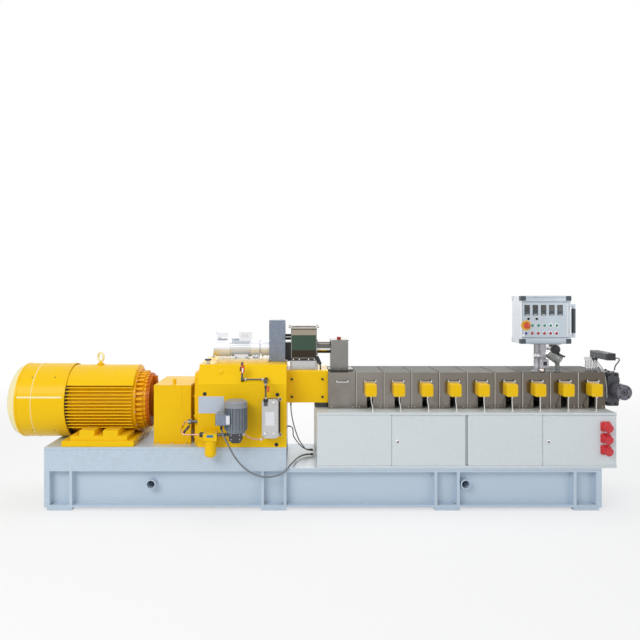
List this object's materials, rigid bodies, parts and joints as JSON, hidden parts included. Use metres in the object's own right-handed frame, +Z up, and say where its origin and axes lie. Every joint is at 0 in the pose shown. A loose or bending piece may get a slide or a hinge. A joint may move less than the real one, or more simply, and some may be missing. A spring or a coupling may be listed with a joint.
{
  "type": "twin screw plastic extruder",
  "caption": "Plastic compounding extruder on a steel base: motor, gearbox, feeder, covered barrel over a cabinet with hinged doors, control box and die head.",
  "frame": {"origin": "centre of the machine's outline, on the floor", "axes": "+X along the barrel towards the die, +Z up, -Y towards the doors"},
  "size_m": [5.643, 1.126, 1.867],
  "materials": {
    "base_grey": "smooth paint",
    "machine_yellow": "gloss enamel",
    "cabinet_white": "powder coat",
    "stainless": "polished",
    "bright_steel": "machined",
    "aluminium": "brushed",
    "slate_paint": "satin paint",
    "dark_steel": "oiled black",
    "copper": "drawn tube",
    "socket_red": "moulded",
    "white_cable": "sleeve",
    "grey_cable": "sheath",
    "control_plastic": "moulded"
  },
  "bodies": {
    "machine": {"raised_side_beams": "base_grey", "low_side_beams": "base_grey", "deck_plates": "base_grey", "foot_plates": "base_grey", "lifting_tubes": "base_grey", "motor_foot_plate": "machine_yellow", "motor_frame": "machine_yellow", "motor_fan_cowl": "machine_yellow", "motor_fan_cover": "machine_yellow", "motor_end_shield": "machine_yellow", "motor_eye_bolt": "machine_yellow", "shaft_coupling": "machine_yellow", "coupling_guard": "machine_yellow", "gearbox_housing": "machine_yellow", "gearbox_fittings": "bright_steel", "oil_pump_motor": "slate_paint", "oil_pump": "dark_steel", "oil_filter": "machine_yellow", "oil_cooler": "stainless", "oil_pipes": "bright_steel", "copper_pipes": "copper", "lantern_housing": "machine_yellow", "barrel": "dark_steel", "feed_cover": "stainless", "barrel_covers": "stainless", "heater_terminal_boxes": "machine_yellow", "heater_cables": "white_cable", "cabinet_plates": "cabinet_white", "cabinet_back": "cabinet_white", "cabinet_walls": "cabinet_white", "door_pivots": "bright_steel", "feeder_motor": "aluminium", "feeder_drive_guard": "slate_paint", "feeder_base": "bright_steel", "feeder_bearings": "dark_steel", "feeder_hopper": "stainless", "feeder_screw_tube": "stainless", "feeder_down_pipe": "stainless", "control_box": "aluminium", "control_buttons": "control_plastic", "control_arm": "stainless", "vent_stack": "stainless", "die_block": "dark_steel", "die_cylinder": "dark_steel", "die_junction_box": "dark_steel", "die_fittings": "bright_steel", "cable_glands": "grey_cable", "pump_cable": "grey_cable", "sensor_cables": "grey_cable", "die_heater_cables": "white_cable", "die_hose": "grey_cable"},
    "door_1": {"door_leaf_1": "cabinet_white"},
    "door_2": {"door_leaf_2": "cabinet_white"},
    "door_3": {"door_leaf_3": "cabinet_white"},
    "door_4": {"door_leaf_4": "cabinet_white", "power_sockets": "socket_red"}
  },
  "joints": [
    {"name": "door_1_hinge", "type": "hinge", "parent": "machine", "child": "door_1", "pos_m": [0.022, -0.3245, 0.609], "axis": [0, 0, -1], "range_deg": [0, 105]},
    {"name": "door_2_hinge", "type": "hinge", "parent": "machine", "child": "door_2", "pos_m": [1.294, -0.3245, 0.609], "axis": [0, 0, 1], "range_deg": [0, 90]},
    {"name": "door_3_hinge", "type": "hinge", "parent": "machine", "child": "door_3", "pos_m": [1.335, -0.3245, 0.609], "axis": [0, 0, -1], "range_deg": [0, 90]},
    {"name": "door_4_hinge", "type": "hinge", "parent": "machine", "child": "door_4", "pos_m": [2.607, -0.3245, 0.609], "axis": [0, 0, 1], "range_deg": [0, 105]}
  ]
}
